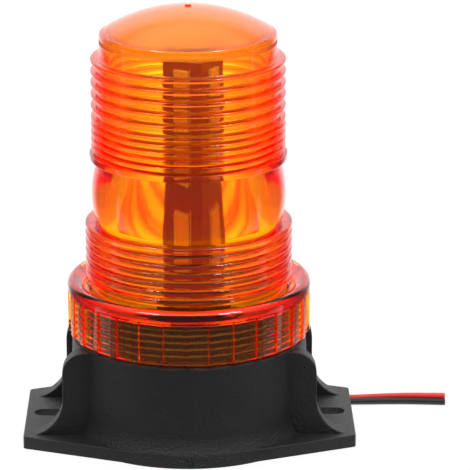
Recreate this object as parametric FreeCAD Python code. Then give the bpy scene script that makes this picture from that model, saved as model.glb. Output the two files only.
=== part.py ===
"""Strobe light for a forklift or machine: a ribbed amber lens screwed on a black base with two slotted ears.

Millimetres, +Z up. The origin is the centre of the base's underside. The two ears lie along X and the
leads leave under the right ear.
"""

import FreeCAD
import Part
import math
import os

# Clearances that recur
fit_gap = 0.2
screw_gap = 0.08

# Base body, a drafted cylinder with a flared foot. The other radii are counted from its top radius.
body_radius = 33.7
body_height = 29.0
body_wall = 2.5
body_draft = 0.7
body_edge_round = 0.9
foot_spread = 2.75
foot_draft = 0.65
flare_top = 9.5
flare_hollow = 0.35

# Base plate with its two ears, each with a bolt slot
plate_height = 3.6
ear_reach = 11.05
ear_half_width = 19.8
ear_corner_round = 1.3
ear_edge_round = 0.35
ear_tangent_inset = 0.6
slot_length = 9.0
slot_width = 5.5
slot_end_margin = 2.25

# Threaded neck that the lens screws on, and the deck inside it
neck_shoulder = 2.5
neck_wall = 2.2
neck_height = 10.8
neck_chamfer = 0.5
deck_rise = 1.6
deck_thickness = 2.2
deck_hole_radius = 5.5

# Gussets, two on each ear
gusset_edge_margin = 1.3
gusset_thickness = 5.4
gusset_stand_out = 2.5
gusset_round = 6.5
gusset_foot_round = 10.8
gusset_foot_sink = 0.35
gusset_drop = 0.9
gusset_edge = 0.35
root_depth = 1.0

# Screws, all of one self-tapping size
screw_radius = 1.2
screw_head_radius = 2.3
screw_head_height = 1.5

# Bottom cover, its four screws and their pillars
cover_lap = 1.4
cover_thickness = 2.0
cover_set_back = 0.4
pillar_inset = 3.0
pillar_radius = 3.3
cover_screw_first_angle = 75.0
cover_screw_count = 4
cover_screw_length = 9.0
pilot_extra = 1.0

# Driver board, its posts and screws
board_edge_gap = 0.9
driver_board_thickness = 1.6
post_length = 4.0
post_radius = 2.8
board_screw_inset = 4.0
board_screw_count = 3
board_screw_first_angle = 90.0
board_screw_length = 6.0
board_pilot_extra = 0.6

# Parts that hang from the driver board
capacitor_radius = 4.0
capacitor_height = 11.5
capacitor_bead_width = 1.0
capacitor_bead_depth = 0.4
capacitor_bead_drop = 1.4
capacitor_at = (-3.0, 12.0)
inductor_radius = 5.0
inductor_height = 6.0
inductor_flange = 1.1
inductor_waist = 0.8
inductor_at = (4.0, -12.0)
chip_size = (4.9, 3.9, 1.5)
chip_at = (9.0, 1.0)
chip_lead_size = (0.4, 1.2, 0.3)
chip_lead_count = 4
chip_stand_off = 0.1
diode_size = (4.3, 2.6, 2.2)
diode_spacing = 3.8
diode_count = 4
diode_row_at = (-6.5, -9.0)
resistor_size = (3.2, 1.6, 0.6)
resistor_spacing = 2.5
resistor_count = 6
resistor_row_at = (3.0, -5.5)

# Two leads, their channel under the right ear and the grommet that grips them. The lead routes are
# counted along X from the grommet's outer face, and the inner ones from its inner face.
lead_radius = 1.0
arc_share = 0.45
channel_y = 15.3
channel_width = 4.6
channel_height = 2.6
grommet_set_back = 1.45
grommet_length = 7.5
grommet_height = 4.8
grommet_corner_round = 0.6
grommet_pocket_room = 3.0
black_lead_route = [(0.0, 14.2, 1.15), (8.0, 14.2, 1.15), (16.0, 14.6, 1.05),
                    (24.0, 14.85, 1.02), (32.0, 14.7, 1.02), (40.9, 13.86, 1.02)]
red_lead_route = [(0.0, 16.27, 1.35), (8.0, 16.27, 1.35), (16.0, 16.62, 1.45),
                  (24.0, 16.82, 1.76), (32.0, 16.52, 2.02), (40.9, 15.52, 2.22)]
inner_black_route = [(0.0, 14.2, 3.6), (-5.1, 14.2, 3.6), (-9.3, 13.6, 7.2), (-11.7, 12.2, 13.7)]
inner_red_route = [(0.0, 16.3, 3.6), (-5.0, 16.3, 3.6), (-9.4, 15.9, 7.2), (-12.1, 15.0, 13.7)]

# Light tower: a socket on the deck, a square core, four side boards and a top board
tower_x = 1.4
tower_yaw = -30.0
tower_side = 12.6
tower_board_thickness = 1.3
tower_core_wall = 1.4
tower_head_room = 0.2
socket_rim = 0.4
socket_floor = 2.4
socket_wall = 1.8
socket_wall_height = 6.0
socket_screw_room = 0.9
socket_screw_length = 4.0
pin_side = 0.64
pin_pitch = 2.54
pin_header_height = 2.5
pin_reach = 3.0
pin_window_pitches = 3

# Light-emitting diodes
led_width = 4.5
led_length = 5.7
led_height = 0.9
led_rim = 0.45
led_window_depth = 0.25
led_rows = 6
led_top_drop = 5.9
led_pitch = 10.2
top_led_gap = 0.7

# Lens seal, a rubber ring with softened corners
seal_thickness = 1.0
seal_corner = 0.2

# Lens collar with its grip ribs
collar_gap = 0.5
thread_gap = 0.5
collar_wall = 2.4
rib_height = 0.8
rib_angle = 3.0
rib_count = 30
first_rib_angle = 87.0
facet_depth = 4.0
facet_drop = 3.2
collar_foot_chamfer = 0.5
shoulder_round = 1.9
shoulder_end_angle = 95.0
crest_rise = 2.5
lip_rise = 1.0
lip_edge = 0.3
groove_width = 2.0
web_thickness = 2.2

# Lens barrel, the wall that carries the fins. Its radius at the fins' roots is counted from the neck.
barrel_set_in = 5.4
lens_wall = 2.3
bore_belt_spread = 0.9
bore_low_spread = 2.5

# Lens lower stack of fine steps
lower_root_spread = 2.6
lower_ring_depth = 1.2
lower_wall_spread = 1.5
lower_ring_count = 7
lower_ring_pitch = 2.53
lower_ring_rim = 1.5
first_ring_rise = 4.17
first_ring_slope = 0.9

# Lens belt, the smooth bulge that throws the beam
belt_height = 18.55
belt_crest_rise = 8.25
belt_bulge = 1.9
belt_low_spread = 0.6
belt_high_spread = -0.16

# Lens upper stack of thin fins
last_ring_depth = 2.3
last_ring_rim = 1.9
fin_depth = 1.8
fin_rim = 0.7
fin_root_extra = 0.35
fine_fin_count = 4
fine_fin_pitch = 2.14
wide_fin_count = 6
wide_fin_pitch = 3.3

# Lens cap: plain neck, rounded edge, spherical dome and gate mark
cap_set_in = 0.7
cap_rise = 7.0
cap_edge_round = 1.1
dome_rise = 7.5
dome_corner_inset = 1.0
gate_mark_radius = 0.9
gate_mark_height = 0.5
gate_mark_edge = 0.2

UP = FreeCAD.Vector(0, 0, 1)
CENTRE = FreeCAD.Vector(0, 0, 0)


def vector(x, y, z):
    return FreeCAD.Vector(x, y, z)


def polar(radius, degrees, z):
    angle = math.radians(degrees)
    return vector(radius * math.cos(angle), radius * math.sin(angle), z)


def outline(points):
    """Closed wire in the XZ plane. A point is (x, z), or (mid_x, mid_z, x, z) where an arc ends there."""
    edges = []
    here = points[0]
    for point in points[1:] + points[:1]:
        start = vector(here[-2], 0, here[-1])
        end = vector(point[-2], 0, point[-1])
        if len(point) == 4:
            middle = vector(point[0], 0, point[1])
            edges.append(Part.Arc(start, middle, end).toShape())
        elif start.distanceToPoint(end) > 1e-6:
            edges.append(Part.LineSegment(start, end).toShape())
        here = point
    return Part.Wire(edges)


def turned(points):
    """Solid of revolution about Z of an outline given as (radius, z)."""
    return Part.Face(outline(points)).revolve(CENTRE, UP, 360)


def disc(radius, low, high, x=0.0, y=0.0):
    return Part.makeCylinder(radius, high - low, vector(x, y, low))


def block(x_size, y_size, low, high, x=0.0, y=0.0):
    return Part.makeBox(x_size, y_size, high - low, vector(x - x_size / 2, y - y_size / 2, low))


def arc_point(centre_x, centre_z, radius, degrees):
    angle = math.radians(degrees)
    return (centre_x + radius * math.cos(angle), centre_z + radius * math.sin(angle))


def arc_step(centre_x, centre_z, radius, start, end):
    """Outline step along an arc about a centre, between two angles in degrees."""
    middle = arc_point(centre_x, centre_z, radius, (start + end) / 2)
    return middle + arc_point(centre_x, centre_z, radius, end)


def joined(shapes):
    return shapes[0].fuse(shapes[1:]).removeSplitter() if len(shapes) > 1 else shapes[0]


def ring_of(maker, count, circle, first_angle):
    places = [polar(circle, first_angle + 360.0 * i / count, 0) for i in range(count)]
    return [maker(place.x, place.y) for place in places]


def save(name, shape):
    shape.exportStep("parts/" + name + ".step")


# Radii of the base, from the body outwards and inwards
foot_radius = body_radius + foot_spread
cavity_radius = body_radius - body_wall
neck_radius = body_radius - neck_shoulder
neck_bore = neck_radius - neck_wall
cover_radius = cavity_radius + cover_lap
cover_recess_radius = cover_radius + fit_gap
cover_screw_circle = cavity_radius - pillar_inset
driver_board_radius = cover_screw_circle - pillar_radius - board_edge_gap
board_screw_circle = driver_board_radius - board_screw_inset
grommet_outer_x = foot_radius - grommet_set_back
grommet_inner_x = grommet_outer_x - grommet_length

# Ears and gussets
overall_length = 2 * (foot_radius + ear_reach)
slot_spacing = overall_length - 2 * slot_end_margin - slot_length
gusset_outer_y = ear_half_width - gusset_edge_margin

# Heights in the base, from the floor up
cover_top = cover_set_back + cover_thickness
deck_top = body_height + deck_rise
deck_low = deck_top - deck_thickness
board_top = deck_low - post_length
board_low = board_top - driver_board_thickness
neck_top = body_height + neck_height
socket_top = deck_top + socket_floor

# Heights in the lens, from the collar up. They end at the full height of 125.
collar_low = body_height + collar_gap
web_low = neck_top + seal_thickness
groove_floor = web_low + web_thickness
crest_height = groove_floor + crest_rise
facet_top = crest_height - facet_drop
lower_stack_top = groove_floor + first_ring_rise + (lower_ring_count - 1) * lower_ring_pitch
belt_top = lower_stack_top + belt_height
first_wide_fin = belt_top + last_ring_rim + (fine_fin_count + 1) * fine_fin_pitch
upper_stack_top = first_wide_fin + (wide_fin_count - 1) * wide_fin_pitch
cap_rim = upper_stack_top + cap_rise
dome_top = cap_rim + dome_rise
overall_height = dome_top + gate_mark_height

# Radii of the lens
collar_bore = neck_radius + thread_gap
facet_radius = collar_bore + collar_wall
collar_rib_radius = facet_radius + rib_height
barrel_radius = neck_radius - barrel_set_in
cap_radius = barrel_radius - cap_set_in
lower_root_radius = barrel_radius + lower_root_spread
lower_ring_radius = lower_root_radius + lower_ring_depth
lower_wall_radius = barrel_radius + lower_wall_spread
lip_radius = lower_wall_radius + groove_width
dome_sphere = (cap_radius ** 2 + dome_rise ** 2) / (2 * dome_rise)
dome_centre = dome_top - dome_sphere

# Light tower
tower_top = upper_stack_top - tower_head_room
socket_inner = tower_side + 2 * fit_gap
socket_outer = socket_inner + 2 * socket_wall
socket_screw_spacing = socket_outer + 2 * (screw_head_radius + socket_screw_room)
socket_radius = socket_screw_spacing / 2 + screw_head_radius + socket_rim

# Rings of screws: how many, the circle's radius and the first angle
cover_pillars = (cover_screw_count, cover_screw_circle, cover_screw_first_angle)
board_posts = (board_screw_count, board_screw_circle, board_screw_first_angle)


def plate():
    """Flat foot: two ears whose straight edges run off on a circle just inside the body's foot."""
    corner_x = overall_length / 2
    reach = math.hypot(corner_x, ear_half_width)
    tangent_radius = foot_radius - ear_tangent_inset
    touch = math.degrees(math.atan2(ear_half_width, corner_x) + math.acos(tangent_radius / reach))
    corners = []
    for sign_x, sign_y in ((1, 1), (-1, 1), (-1, -1), (1, -1)):
        ear = vector(sign_x * corner_x, sign_y * ear_half_width, 0)
        meeting = polar(tangent_radius, touch, 0)
        meeting = vector(sign_x * meeting.x, sign_y * meeting.y, 0)
        corners += [ear, meeting] if sign_x * sign_y > 0 else [meeting, ear]
    sheet = Part.Face(Part.makePolygon(corners + corners[:1])).extrude(vector(0, 0, plate_height))
    ends = [edge for edge in sheet.Edges if upright_at(edge, corner_x)]
    sheet = sheet.makeFillet(ear_corner_round, ends)
    return sheet.makeFillet(ear_edge_round, [edge for edge in sheet.Edges if level_at(edge, plate_height)])


def upright_at(edge, x):
    a, b = edge.Vertexes[0].Point, edge.Vertexes[-1].Point
    return abs(a.z - b.z) > 1e-6 and abs(abs(a.x) - x) < 1e-6


def level_at(edge, z):
    return abs(edge.BoundBox.ZMin - z) < 1e-6 and edge.BoundBox.ZLength < 1e-6


def housing_shell():
    """Body, deck and neck in one turned shape."""
    rim = body_height - body_edge_round
    rim_radius = body_radius + body_draft * body_edge_round / (body_height - flare_top)
    step_radius = foot_radius - foot_draft
    flare_radius = body_radius + body_draft
    flare_mid = ((step_radius + flare_radius) / 2 - flare_hollow,
                 (plate_height + flare_top) / 2 - flare_hollow)
    return turned([
        (deck_hole_radius, deck_low),
        (cavity_radius, deck_low),
        (cavity_radius, cover_top),
        (cover_recess_radius, cover_top),
        (cover_recess_radius, 0),
        (foot_radius, 0),
        (step_radius, plate_height),
        flare_mid + (flare_radius, flare_top),
        (rim_radius, rim),
        arc_step(rim_radius - body_edge_round, rim, body_edge_round, 0, 90),
        (neck_radius, body_height),
        (neck_radius, neck_top - neck_chamfer),
        (neck_radius - neck_chamfer, neck_top),
        (neck_bore, neck_top),
        (neck_bore, deck_top),
        (deck_hole_radius, deck_top),
    ])


def gusset(sign_x, sign_y):
    """Thick web on an ear: rounded shoulder, upright face and a hollow foot that runs out on the plate."""
    face_x = body_radius + gusset_stand_out
    top = body_height - gusset_drop
    low = plate_height - root_depth
    inside_x = math.sqrt(cavity_radius ** 2 - gusset_outer_y ** 2)
    foot_x = face_x + gusset_foot_round
    foot_z = plate_height + gusset_foot_round - gusset_foot_sink
    end_angle = 180 + math.degrees(math.asin((foot_z - plate_height) / gusset_foot_round))
    tip = arc_point(foot_x, foot_z, gusset_foot_round, end_angle)
    side = Part.Face(outline([
        (inside_x, low),
        (tip[0], low),
        tip,
        arc_step(foot_x, foot_z, gusset_foot_round, end_angle, 180),
        (face_x, top - gusset_round),
        arc_step(face_x - gusset_round, top - gusset_round, gusset_round, 0, 90),
        (inside_x, top),
    ]))
    web = side.extrude(vector(0, gusset_thickness, 0))
    web.translate(vector(0, gusset_outer_y - gusset_thickness, 0))
    web = web.makeFillet(gusset_edge, [edge for edge in web.Edges if on_strip(edge, inside_x)])
    web = web.cut(disc(cavity_radius, 0, body_height))
    if sign_x < 0:
        web = web.mirror(CENTRE, vector(1, 0, 0))
    return web.mirror(CENTRE, vector(0, 1, 0)) if sign_y < 0 else web


def on_strip(edge, inside_x):
    """True for the long edges of a gusset's outer strip, which are rounded."""
    box = edge.BoundBox
    level_top = box.XLength > 1e-6 and box.ZMin > plate_height - 1e-3
    upright = box.ZLength > root_depth + 0.1 and box.XMin > inside_x + 1.0
    return box.YLength < 1e-6 and (level_top or upright)


def slot(sign_x):
    """Upright cutter for a bolt slot that runs along X."""
    straight = slot_length - slot_width
    low, high = -1.0, plate_height + 1.0
    middle = sign_x * slot_spacing / 2
    ends = [disc(slot_width / 2, low, high, middle + side * straight / 2) for side in (-1, 1)]
    return joined(ends + [block(straight, slot_width, low, high, middle)])


def lead_channel():
    """Groove under the right ear, with a deeper pocket for the grommet."""
    end_x = overall_length / 2 + 1
    groove = block(end_x - grommet_inner_x, channel_width, -1.0, channel_height,
                   (end_x + grommet_inner_x) / 2, channel_y)
    pocket_low_x = grommet_inner_x - grommet_pocket_room
    pocket_high_x = grommet_outer_x + fit_gap
    pocket = block(pocket_high_x - pocket_low_x, channel_width + 2 * fit_gap, -1.0,
                   cover_set_back + grommet_height + fit_gap, (pocket_low_x + pocket_high_x) / 2, channel_y)
    return groove.fuse(pocket)


def pillar(x, y):
    return disc(pillar_radius, cover_top, deck_low, x, y)


def board_post(x, y):
    return disc(post_radius, board_top, deck_low, x, y)


def cover_pilot(x, y):
    high = cover_set_back + cover_screw_length + pilot_extra
    return disc(screw_radius + screw_gap, cover_top - 1, high, x, y)


def board_pilot(x, y):
    depth = board_screw_length - driver_board_thickness + board_pilot_extra
    return disc(screw_radius + screw_gap, board_top - 1, board_top + depth, x, y)


def socket_pilot(sign):
    place = tower_point(sign * socket_screw_spacing / 2, 0, 0)
    depth = socket_screw_length - socket_floor
    return disc(screw_radius + screw_gap, deck_top - depth - fit_gap, deck_top + 1, place.x, place.y)


def base_housing():
    body = housing_shell()
    body = body.fuse([plate().cut(disc(cover_recess_radius, -1, plate_height + 1))])
    body = body.fuse([gusset(x, y) for x in (-1, 1) for y in (-1, 1)])
    body = body.fuse(ring_of(pillar, *cover_pillars))
    body = body.fuse(ring_of(board_post, *board_posts))
    body = body.cut([slot(-1), slot(1), lead_channel()])
    body = body.cut(ring_of(cover_pilot, *cover_pillars))
    body = body.cut(ring_of(board_pilot, *board_posts))
    body = body.cut([socket_pilot(-1), socket_pilot(1)])
    return body.removeSplitter()


def flush_head(x, y, grow=0.0):
    """Countersunk head below the cover's outer face, and its cutter when it is grown."""
    low = cover_set_back
    return Part.makeCone(screw_head_radius + grow, screw_radius + grow, screw_head_height, vector(x, y, low))


def bottom_cover():
    plate_disc = disc(cover_radius, cover_set_back, cover_top)
    notch_x = grommet_inner_x - fit_gap
    notch = block(cover_radius, channel_width + 2 * fit_gap, 0, cover_top + 1,
                  notch_x + cover_radius / 2, channel_y)
    holes = ring_of(lambda x, y: flush_head(x, y, screw_gap), *cover_pillars)
    holes += ring_of(lambda x, y: disc(screw_radius + screw_gap, 0, cover_top + 1, x, y), *cover_pillars)
    return plate_disc.cut([notch] + holes)


def cover_screw(x, y):
    shank = disc(screw_radius, cover_set_back + screw_head_height, cover_set_back + cover_screw_length, x, y)
    return flush_head(x, y).fuse(shank)


def pan_screw(x, y, seat, length, up):
    """Pan-head screw whose head lies on a seat. The shank points up or down from it."""
    way = 1 if up else -1
    head = Part.makeCylinder(screw_head_radius, screw_head_height, vector(x, y, seat), vector(0, 0, -way))
    rim = [edge for edge in head.Edges if abs(edge.CenterOfMass.z - seat) > screw_head_height - 0.01
           and edge.BoundBox.ZLength < 1e-6]
    head = head.makeFillet(screw_head_height / 2, rim)
    shank = Part.makeCylinder(screw_radius, length, vector(x, y, seat), vector(0, 0, way))
    return head.fuse(shank)


def driver_board():
    board = disc(driver_board_radius, board_low, board_top)
    hole_radius = screw_radius + screw_gap
    holes = ring_of(lambda x, y: disc(hole_radius, board_low - 1, board_top + 1, x, y), *board_posts)
    return board.cut(holes)


def filter_capacitor():
    """Round can with a rolled bead near its rubber end."""
    r = capacitor_radius
    bead = board_low - capacitor_bead_drop
    far_end = board_low - capacitor_height
    can = turned([
        (0, board_low),
        (r, board_low),
        (r, bead),
        (r - capacitor_bead_depth, bead - capacitor_bead_width / 2),
        (r, bead - capacitor_bead_width),
        (r, far_end + capacitor_bead_depth),
        (r - capacitor_bead_depth, far_end),
        (0, far_end),
    ])
    can.translate(vector(capacitor_at[0], capacitor_at[1], 0))
    return can


def power_inductor():
    """Drum core: two flanges with the winding between them."""
    r, waist = inductor_radius, inductor_radius - inductor_waist
    far_end = board_low - inductor_height
    drum = turned([
        (0, board_low),
        (r, board_low),
        (r, board_low - inductor_flange),
        (waist, board_low - inductor_flange),
        (waist, far_end + inductor_flange),
        (r, far_end + inductor_flange),
        (r, far_end),
        (0, far_end),
    ])
    drum.translate(vector(inductor_at[0], inductor_at[1], 0))
    return drum


def driver_chip():
    """Small-outline chip with its row of leads on each side."""
    length, width, height = chip_size
    lead_width, lead_reach, lead_height = chip_lead_size
    body = block(length, width, board_low - height, board_low - chip_stand_off, *chip_at)
    feet = []
    for side in (-1, 1):
        for i in range(chip_lead_count):
            x = chip_at[0] + (i - (chip_lead_count - 1) / 2) * length / chip_lead_count
            y = chip_at[1] + side * (width + lead_reach / 2) / 2
            feet.append(block(lead_width, lead_reach, board_low - lead_height, board_low, x, y))
    return joined([body] + feet)


def row_of_blocks(size, count, row_at, spacing):
    """Row of like parts along Y under the driver board."""
    length, width, height = size
    places = [(row_at[0], row_at[1] + i * spacing) for i in range(count)]
    return Part.makeCompound([block(length, width, board_low - height, board_low, x, y) for x, y in places])


def rectifier_diodes():
    return row_of_blocks(diode_size, diode_count, diode_row_at, diode_spacing)


def chip_resistors():
    return row_of_blocks(resistor_size, resistor_count, resistor_row_at, resistor_spacing)


def tube(route, face_x, name):
    """Round lead along a route of straight runs joined by tangent arcs, each as large as its runs allow."""
    points = [vector(face_x + x, y, z) for x, y, z in route]
    edges = []
    start = points[0]
    radii = []
    for before, corner, after in zip(points, points[1:], points[2:]):
        into = (corner - before).normalize()
        out = (after - corner).normalize()
        half_turn = math.acos(max(-1.0, min(1.0, into.dot(out)))) / 2
        shorter = min(before.distanceToPoint(corner), corner.distanceToPoint(after))
        setback = arc_share * shorter
        arc_radius = setback / math.tan(half_turn)
        radii.append(round(arc_radius, 1))
        arc_start, arc_end = corner - into * setback, corner + out * setback
        bisector = (out - into).normalize()
        middle = corner + bisector * (arc_radius / math.cos(half_turn) - arc_radius)
        edges.append(Part.LineSegment(start, arc_start).toShape())
        edges.append(Part.Arc(arc_start, middle, arc_end).toShape())
        start = arc_end
    edges.append(Part.LineSegment(start, points[-1]).toShape())
    path = Part.Wire(edges)
    section = Part.Wire([Part.makeCircle(lead_radius, points[0], points[1] - points[0])])
    solid = path.makePipeShell([section], True, False)
    share = solid.Volume / (math.pi * lead_radius ** 2 * path.Length)
    print(name, "length", round(path.Length, 2), "arc radii", radii, "volume share", round(share, 4))
    return solid


def up_to_board(route):
    """Route with a last upright run that ends on the driver board's underside."""
    return route + [route[-1][:2] + (board_low,)]


def cable_grommet():
    """Moulded plug that fills the cover's notch and grips both leads."""
    plug = block(grommet_length, channel_width, cover_set_back, cover_set_back + grommet_height,
                 (grommet_inner_x + grommet_outer_x) / 2, channel_y)
    uprights = [edge for edge in plug.Edges if edge.BoundBox.ZLength > 1]
    return plug.makeFillet(grommet_corner_round, uprights)


def tower_point(x, y, z):
    """A place given in the light tower's own turned frame."""
    angle = math.radians(tower_yaw)
    return vector(tower_x + x * math.cos(angle) - y * math.sin(angle),
                  x * math.sin(angle) + y * math.cos(angle), z)


def in_tower(shape):
    shape.rotate(CENTRE, UP, tower_yaw)
    shape.translate(vector(tower_x, 0, 0))
    return shape


def tower_socket():
    """Round foot on the deck with a square collar that grips the four boards."""
    collar_top = socket_top + socket_wall_height
    foot = disc(socket_radius, deck_top, socket_top)
    collar = block(socket_outer, socket_outer, socket_top, collar_top)
    corners = [edge for edge in collar.Edges if edge.BoundBox.ZLength > 1]
    collar = collar.makeFillet(socket_wall, corners)
    body = foot.fuse(collar).cut(block(socket_inner, socket_inner, socket_top, collar_top + 1))
    window_side = pin_window_pitches * pin_pitch
    window = block(window_side, window_side, deck_top - 1, socket_top + 1)
    holes = [disc(screw_radius + screw_gap, deck_top - 1, socket_top + 1, side * socket_screw_spacing / 2)
             for side in (-1, 1)]
    return in_tower(body.cut([window] + holes))


def socket_screws():
    places = [tower_point(side * socket_screw_spacing / 2, 0, 0) for side in (-1, 1)]
    return Part.makeCompound([pan_screw(p.x, p.y, socket_top, socket_screw_length, False) for p in places])


def pin_header():
    """Four square pins that carry current from the driver board up into the tower."""
    pieces = [block(2 * pin_pitch, 2 * pin_pitch, board_top, board_top + pin_header_height)]
    pin_top = socket_top + pin_reach
    for x in (-pin_pitch / 2, pin_pitch / 2):
        for y in (-pin_pitch / 2, pin_pitch / 2):
            pieces.append(block(pin_side, pin_side, board_top, pin_top, x, y))
    return in_tower(joined(pieces))


def tower_core():
    side = tower_side - 2 * tower_board_thickness
    core = block(side, side, socket_top, tower_top - tower_board_thickness)
    bore = side - 2 * tower_core_wall
    return in_tower(core.cut(block(bore, bore, socket_top - 1, tower_top)))


def side_board(turn):
    """Aluminium board on one side of the core. Each board laps the edge of the next, like a pinwheel."""
    width = tower_side - tower_board_thickness
    middle = tower_board_thickness / 2
    board = block(width, tower_board_thickness, socket_top, tower_top - tower_board_thickness,
                  middle, -(tower_side - tower_board_thickness) / 2)
    board.rotate(CENTRE, UP, turn)
    return in_tower(board)


def led():
    """LED lying face up at the origin, its long side along Y, with a sunk window."""
    window = block(led_width - 2 * led_rim, led_length - 2 * led_rim, led_height - led_window_depth, led_height + 1)
    return block(led_width, led_length, 0, led_height).cut(window)


def side_leds(turn):
    """Column of LEDs on one side board."""
    column = []
    for row in range(led_rows):
        piece = led()
        piece.rotate(CENTRE, vector(1, 0, 0), 90)
        piece.translate(vector(0, -tower_side / 2, tower_top - led_top_drop - row * led_pitch))
        piece.rotate(CENTRE, UP, turn)
        column.append(in_tower(piece))
    return Part.makeCompound(column)


def top_board():
    return in_tower(block(tower_side, tower_side, tower_top - tower_board_thickness, tower_top))


def top_leds():
    step_x = led_width + top_led_gap
    step_y = led_length + top_led_gap
    group = []
    for x in (-step_x / 2, step_x / 2):
        for y in (-step_y / 2, step_y / 2):
            piece = led()
            piece.translate(vector(x, y, tower_top))
            group.append(in_tower(piece))
    return Part.makeCompound(group)


def lens_seal():
    """Flat rubber ring on the neck's rim, under the lens's web."""
    outer, inner, soft = neck_radius - neck_chamfer, neck_bore, seal_corner
    return turned([
        (inner + soft, neck_top),
        (outer - soft, neck_top),
        (outer, neck_top + soft),
        (outer, web_low - soft),
        (outer - soft, web_low),
        (inner + soft, web_low),
        (inner, web_low - soft),
        (inner, neck_top + soft),
    ])


def collar_outline():
    """Outer side of the collar from its foot over the shoulder and down into the groove."""
    chamfer = collar_foot_chamfer
    lip = groove_floor + lip_rise
    shoulder_z = crest_height - shoulder_round
    return [
        (facet_radius - chamfer, collar_low),
        (collar_rib_radius - chamfer / 2, collar_low + chamfer),
        (collar_rib_radius, collar_low + 2 * chamfer),
        (collar_rib_radius, shoulder_z),
        arc_step(collar_rib_radius - shoulder_round, shoulder_z, shoulder_round, 0, shoulder_end_angle),
        (lip_radius + lip_edge, lip),
        (lip_radius, lip - lip_edge),
        (lip_radius - lip_edge / 2, groove_floor),
        (lower_wall_radius, groove_floor),
    ]


def lower_stack_outline():
    """Fine steps below the belt, from the lowest one up."""
    first = groove_floor + first_ring_rise - lower_ring_rim
    points = [(lower_wall_radius, first - first_ring_slope)]
    for i in range(lower_ring_count):
        rim_low = first + i * lower_ring_pitch
        if i > 0:
            points.append((lower_root_radius, rim_low - (lower_ring_pitch - lower_ring_rim) / 2))
        points += [(lower_ring_radius, rim_low), (lower_ring_radius, rim_low + lower_ring_rim)]
    return points


def belt_outline():
    """Bulge between the two stacks: one arc through its lower edge, its crest and its upper edge."""
    crest = (barrel_radius + belt_bulge, lower_stack_top + belt_crest_rise)
    return [(barrel_radius + belt_low_spread, lower_stack_top),
            crest + (barrel_radius + belt_high_spread, belt_top)]


def fin_tops():
    """Heights of the fins' upper edges, from the lowest fin up."""
    fine = [belt_top + last_ring_rim + (i + 1) * fine_fin_pitch for i in range(fine_fin_count)]
    return fine + [first_wide_fin + i * wide_fin_pitch for i in range(wide_fin_count)]


def upper_stack_outline():
    """Thick last ring above the belt and then the thin fins, which widen a little at their roots."""
    ring_radius, fin_radius = barrel_radius + last_ring_depth, barrel_radius + fin_depth
    ring_top = belt_top + last_ring_rim
    points = [(ring_radius, belt_top), (ring_radius, ring_top), (barrel_radius, ring_top + fin_root_extra)]
    for top in fin_tops():
        points += [
            (barrel_radius, top - fin_rim - fin_root_extra),
            (fin_radius, top - fin_rim),
            (fin_radius, top),
            (barrel_radius, top + fin_root_extra),
        ]
    return points[:-1]


def cap_outline():
    """Plain neck, rounded edge, spherical dome and the small gate mark on its top."""
    corner_r = cap_radius - cap_edge_round
    corner_z = dome_centre + math.sqrt((dome_sphere - cap_edge_round) ** 2 - corner_r ** 2)
    lean = math.degrees(math.atan2(corner_z - dome_centre, corner_r))
    mark = math.degrees(math.acos(gate_mark_radius / dome_sphere))
    return [
        (cap_radius, upper_stack_top),
        (cap_radius, corner_z),
        arc_step(corner_r, corner_z, cap_edge_round, 0, lean),
        arc_step(0, dome_centre, dome_sphere, lean, mark),
        (gate_mark_radius, overall_height - gate_mark_edge),
        (gate_mark_radius - gate_mark_edge, overall_height),
        (0, overall_height),
    ]


def bore_outline():
    """Inner side of the lens from the top of the dome down to the mouth of the collar."""
    sphere = dome_sphere - lens_wall
    top_radius = cap_radius - lens_wall
    low = math.degrees(math.acos((top_radius - dome_corner_inset) / sphere))
    bore_radius = barrel_radius - lens_wall
    low_radius = bore_radius + bore_low_spread
    return [
        arc_point(0, dome_centre, sphere, 90),
        arc_step(0, dome_centre, sphere, 90, low),
        (top_radius, cap_rim - lens_wall),
        (bore_radius, belt_top),
        (bore_radius + bore_belt_spread, lower_stack_top),
        (low_radius, lower_stack_top - lens_wall),
        (low_radius, web_low),
        (collar_bore, web_low),
        (collar_bore, collar_low),
    ]


def facet_cutter(index):
    """Flat-sided pocket between two grip ribs."""
    pitch_angle = 360.0 / rib_count
    width = 2 * collar_rib_radius * math.tan(math.radians((pitch_angle - rib_angle) / 2))
    cutter = block(facet_depth, width, collar_low - 1, facet_top, facet_radius + facet_depth / 2)
    cutter.rotate(CENTRE, UP, first_rib_angle + pitch_angle * (index + 0.5))
    return cutter


def lens():
    points = collar_outline() + lower_stack_outline() + belt_outline() + upper_stack_outline()
    body = turned(points + cap_outline() + bore_outline())
    return body.cut([facet_cutter(i) for i in range(rib_count)])


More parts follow.
